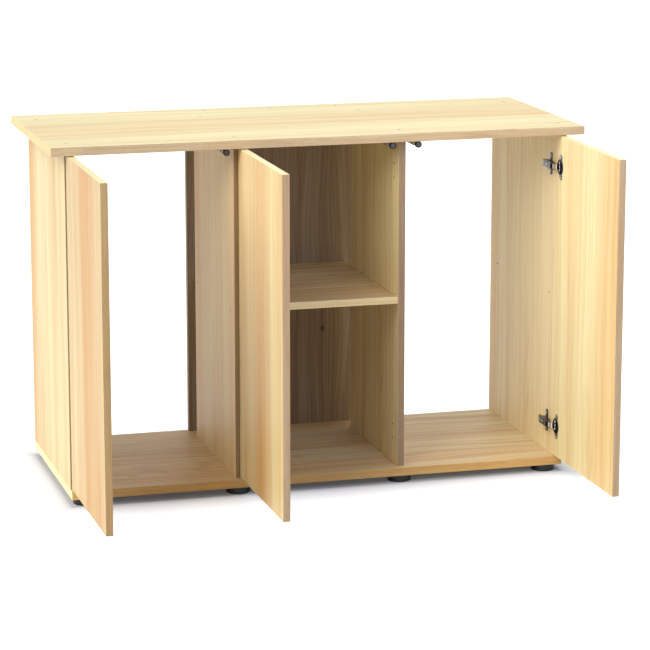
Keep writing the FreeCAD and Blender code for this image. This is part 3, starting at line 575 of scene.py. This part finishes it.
def moulded_plastic(name, colour):
    """Moulded plastic: an even body colour with the fine spark-eroded texture of its mould."""
    surface = SURFACES[name]
    material, tree, shader = new_material(name)
    where = add(tree, "ShaderNodeTexCoord").outputs["Object"]
    grit = add(tree, "ShaderNodeTexNoise",
               {"Vector": where, "Scale": 1 / surface.pattern, "Detail": 2.0, "Roughness": 0.55})
    tone = add(tree, "ShaderNodeMapRange",
               {"Value": grit, "From Min": NOISE_LEVELS[0], "From Max": NOISE_LEVELS[1],
                "To Min": MOULD_TONES[0], "To Max": MOULD_TONES[1]})
    shade = add(tree, "ShaderNodeVectorMath", {0: linear(colour)[:3], "Scale": tone}, operation="SCALE")
    bump = add(tree, "ShaderNodeBump", {"Strength": MOULD_RELIEF, "Distance": MOULD_DEPTH, "Height": grit})
    plug(tree, shader, {"Base Color": shade, "Normal": bump, "Roughness": surface.roughness,
                        "Specular IOR Level": surface.gloss})
    return material


class CABINET_OT_boards(bpy.types.Operator):
    """Give every board and door its wood-grain face"""
    bl_idname = "cabinet.boards"
    bl_label = "Finish boards and doors"

    def execute(self, context):
        finish = context.scene.cabinet_boards
        group = grain_group(finish)
        for node_name, cut in BOARD_CUTS.items():
            dress(node_name, oak_melamine(node_name, cut, group, finish))
        return {"FINISHED"}


class CABINET_OT_hinges(bpy.types.Operator):
    """Plate the hinges"""
    bl_idname = "cabinet.hinges"
    bl_label = "Finish hinges"

    def execute(self, context):
        finish = context.scene.cabinet_fittings
        # The pressed plates, arms and cups are drawn dark and satin, and the links and pins between them
        # bright: two tones of one plating, which paint the dark reflections and white highlights of the
        # hinges.
        dark_nickel_and_reflection = plated_metal("nickel_plated_steel", finish.dark_nickel_and_reflection)
        bright_and_highlight = plated_metal("bright_nickel_steel_and_highlight", finish.bright_nickel_and_highlight)
        for door in DOOR_NAMES:
            for level in HINGE_LEVELS:
                for piece in ("plate", "arm", "cup"):
                    dress(f"{door}_{level}_hinge_{piece}", dark_nickel_and_reflection)
            dress(door + "_hinge_links", bright_and_highlight)
            dress(door + "_hinge_pins", bright_and_highlight)
        return {"FINISHED"}


class CABINET_OT_fasteners(bpy.types.Operator):
    """Plate the screws and the shelf pins"""
    bl_idname = "cabinet.fasteners"
    bl_label = "Finish screws and pins"

    def execute(self, context):
        # Zinc is paler and duller than the nickel of the hinges.
        zinc = plated_metal("zinc_plated_steel", context.scene.cabinet_fittings.zinc)
        names = ["hinge_screws", "top_screws", "bottom_screws", "latch_screws", "shelf_pins"]
        for node_name in names + [door + "_cup_screws" for door in DOOR_NAMES]:
            dress(node_name, zinc)
        return {"FINISHED"}


class CABINET_OT_latches(bpy.types.Operator):
    """Finish the push latches"""
    bl_idname = "cabinet.latches"
    bl_label = "Finish push latches"

    def execute(self, context):
        finish = context.scene.cabinet_fittings
        # A satin housing, a smoother and paler rod, a matt black tip and the magnet in it, drawn dark: partly
        # painted reflection, standing in for dark surroundings mirrored in its plating.
        finishes = {
            "housing": moulded_plastic("grey_abs", finish.housing_grey),
            "rod": moulded_plastic("grey_acetal", finish.rod_grey),
            "tip": moulded_plastic("black_acetal", finish.tip_black),
            "magnet": plated_metal("plated_magnet", finish.magnet),
        }
        for door in DOOR_NAMES:
            for piece, material in finishes.items():
                dress(f"{door}_latch_{piece}", material)
        return {"FINISHED"}


class CABINET_OT_feet(bpy.types.Operator):
    """Finish the feet"""
    bl_idname = "cabinet.feet"
    bl_label = "Finish feet"

    def execute(self, context):
        # Polypropylene straight from the mould: black, with a soft shine.
        black = moulded_plastic("black_polypropylene", context.scene.cabinet_fittings.foot_black)
        for node_name in ("front_feet", "rear_feet"):
            dress(node_name, black)
        return {"FINISHED"}


def seen_ray(tree):
    """One where the camera, a reflection or a see-through surface looks, and zero for light on things."""
    path = add(tree, "ShaderNodeLightPath").outputs
    seen = path["Is Camera Ray"]
    for ray in ("Is Glossy Ray", "Is Transmission Ray"):
        seen = add(tree, "ShaderNodeMath", {0: seen, 1: path[ray]}, operation="MAXIMUM")
    return seen


def studio_sky(scene, stage):
    """White surroundings that light the cabinet mostly from behind and from the left."""
    scene.world = bpy.data.worlds.new("white_studio")
    tree = empty_tree(scene.world)
    where = add(tree, "ShaderNodeTexCoord").outputs["Generated"]
    bright_way = Vector(BRIGHT_WAY).normalized()
    side = add(tree, "ShaderNodeVectorMath", {0: where, 1: bright_way}, operation="DOT_PRODUCT")
    strength = add(tree, "ShaderNodeMapRange",
                   {"Value": side, "From Min": BRIGHT_EDGE[0], "From Max": BRIGHT_EDGE[1],
                    "To Min": stage.sky_dim, "To Max": stage.sky_bright}, interpolation_type="SMOOTHSTEP")
    seen = add(tree, "ShaderNodeMix", {"Factor": seen_ray(tree), "A": strength, "B": 1.0}, data_type="FLOAT")
    background = add(tree, "ShaderNodeBackground", {"Color": linear(WHITE), "Strength": seen})
    add(tree, "ShaderNodeOutputWorld", {"Surface": background})


def white_floor(stage):
    """A wide pale floor that is white to the camera and takes the cabinet's shadow, darkened further by a
    painted shadow where its glow fades towards the cabinet.
    """
    bpy.ops.mesh.primitive_plane_add(size=FLOOR_SIZE, location=(0, 0, CAD_LOW.z))
    floor = bpy.context.active_object
    floor.name = "floor"
    material = bpy.data.materials.new("white_sweep")
    tree = empty_tree(material)
    low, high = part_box("bottom_panel")
    middle = (low + high) / 2
    half = (high - low) / 2
    where = add(tree, "ShaderNodeTexCoord").outputs["Object"]
    offset = add(tree, "ShaderNodeVectorMath", {0: where, 1: (middle.x, middle.y, 0.0)},
                 operation="SUBTRACT")
    beside = add(tree, "ShaderNodeVectorMath", {0: offset}, operation="ABSOLUTE")
    past = add(tree, "ShaderNodeVectorMath", {0: beside, 1: (half.x, half.y, 0.0)}, operation="SUBTRACT")
    outside = add(tree, "ShaderNodeVectorMath", {0: past, 1: (0.0, 0.0, 0.0)}, operation="MAXIMUM")
    reach = add(tree, "ShaderNodeVectorMath", {0: outside}, operation="LENGTH")
    share = add(tree, "ShaderNodeMapRange",
                {"Value": reach, "From Min": 0.0, "From Max": stage.painted_shadow_reach})
    # The square root keeps the painted shadow dark close to the cabinet and thin further out.
    painted_shadow_lift = add(tree, "ShaderNodeMath", {0: share}, operation="SQRT")
    strength = add(tree, "ShaderNodeMath", {0: painted_shadow_lift, 1: FLOOR_GLOW_PAST_PAINTED_SHADOW, 2: FLOOR_PAINTED_LIGHT_UNDER},
                   operation="MULTIPLY_ADD")
    paint = add(tree, "ShaderNodeBsdfDiffuse", {"Color": linear(FLOOR_PAINT)})
    glow = add(tree, "ShaderNodeEmission", {"Color": linear(WHITE), "Strength": strength})
    shown = add(tree, "ShaderNodeAddShader", {0: paint, 1: glow})
    bounce = add(tree, "ShaderNodeBsdfDiffuse", {"Color": linear(FLOOR_BOUNCE)})
    either = add(tree, "ShaderNodeMixShader", {0: seen_ray(tree), 1: bounce, 2: shown})
    add(tree, "ShaderNodeOutputMaterial", {"Surface": either})
    floor.data.materials.append(material)


def soft_key(scene, stage):
    """One large soft light, high on the left in front of the cabinet."""
    lamp = bpy.data.lights.new("soft_key", "SUN")
    lamp.angle = stage.key_spread
    lamp.energy = stage.key_strength
    lamp.color = linear(stage.key_colour)[:3]
    key = bpy.data.objects.new("soft_key", lamp)
    key.location = Vector(stage.key_from) * KEY_DISTANCE
    key.rotation_euler = (-Vector(stage.key_from)).to_track_quat("-Z", "Y").to_euler()
    scene.collection.objects.link(key)


def front_fill(scene, stage):
    """A weaker soft light above the front, which brightens the front edges from the top down."""
    lamp = bpy.data.lights.new("front_fill", "AREA")
    lamp.size = stage.fill_size
    lamp.energy = stage.fill_power
    lamp.color = linear(stage.fill_colour)[:3]
    fill = bpy.data.objects.new("front_fill", lamp)
    fill.location = stage.fill_place
    middle = (CAD_LOW + CAD_HIGH) / 2
    fill.rotation_euler = (middle - fill.location).to_track_quat("-Z", "Y").to_euler()
    scene.collection.objects.link(fill)


def photo_camera(scene, stage):
    """The camera at the photograph's place and angle."""
    lens = bpy.data.cameras.new("camera")
    lens.lens = stage.lens
    lens.sensor_width = SENSOR_WIDTH
    lens.clip_end = CLIP_END
    camera = bpy.data.objects.new("camera", lens)
    camera.location = stage.camera_place
    camera.rotation_euler = (math.pi / 2 - stage.camera_pitch, 0.0, -stage.camera_yaw)
    scene.collection.objects.link(camera)
    scene.camera = camera


class CABINET_OT_stage(bpy.types.Operator):
    """Set the floor, the lights and the camera"""
    bl_idname = "cabinet.stage"
    bl_label = "Set the stage"

    def execute(self, context):
        scene = context.scene
        stage = scene.cabinet_stage
        scene.view_settings.view_transform = "Standard"
        studio_sky(scene, stage)
        white_floor(stage)
        soft_key(scene, stage)
        front_fill(scene, stage)
        photo_camera(scene, stage)
        return {"FINISHED"}


class CABINET_PT_panel(bpy.types.Panel):
    """Lists the steps that dress the cabinet, and their settings"""
    bl_idname = "CABINET_PT_panel"
    bl_label = "Aquarium cabinet"
    bl_space_type = "VIEW_3D"
    bl_region_type = "UI"
    bl_category = "Cabinet"

    def draw(self, context):
        for step in STEPS:
            self.layout.operator(step.bl_idname)
        for name, group in GROUPS.items():
            settings = getattr(context.scene, name)
            for setting in group.__annotations__:
                self.layout.prop(settings, setting)


GROUPS = {"cabinet_boards": BoardFinish, "cabinet_fittings": FittingFinish, "cabinet_stage": StageSettings}
STEPS = (CABINET_OT_boards, CABINET_OT_hinges, CABINET_OT_fasteners, CABINET_OT_latches, CABINET_OT_feet,
         CABINET_OT_stage)
CLASSES = tuple(GROUPS.values()) + STEPS + (CABINET_PT_panel,)


def register():
    """Register the classes and give the scene its settings."""
    for cls in CLASSES:
        bpy.utils.register_class(cls)
    for name, group in GROUPS.items():
        setattr(bpy.types.Scene, name, bpy.props.PointerProperty(type=group))


def unregister():
    """Take the settings off the scene and unregister the classes."""
    for name in GROUPS:
        delattr(bpy.types.Scene, name)
    for cls in reversed(CLASSES):
        bpy.utils.unregister_class(cls)


def main():
    """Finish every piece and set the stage."""
    register()
    bpy.ops.cabinet.boards()
    bpy.ops.cabinet.hinges()
    bpy.ops.cabinet.fasteners()
    bpy.ops.cabinet.latches()
    bpy.ops.cabinet.feet()
    bpy.ops.cabinet.stage()


if __name__ == "__main__":
    main()
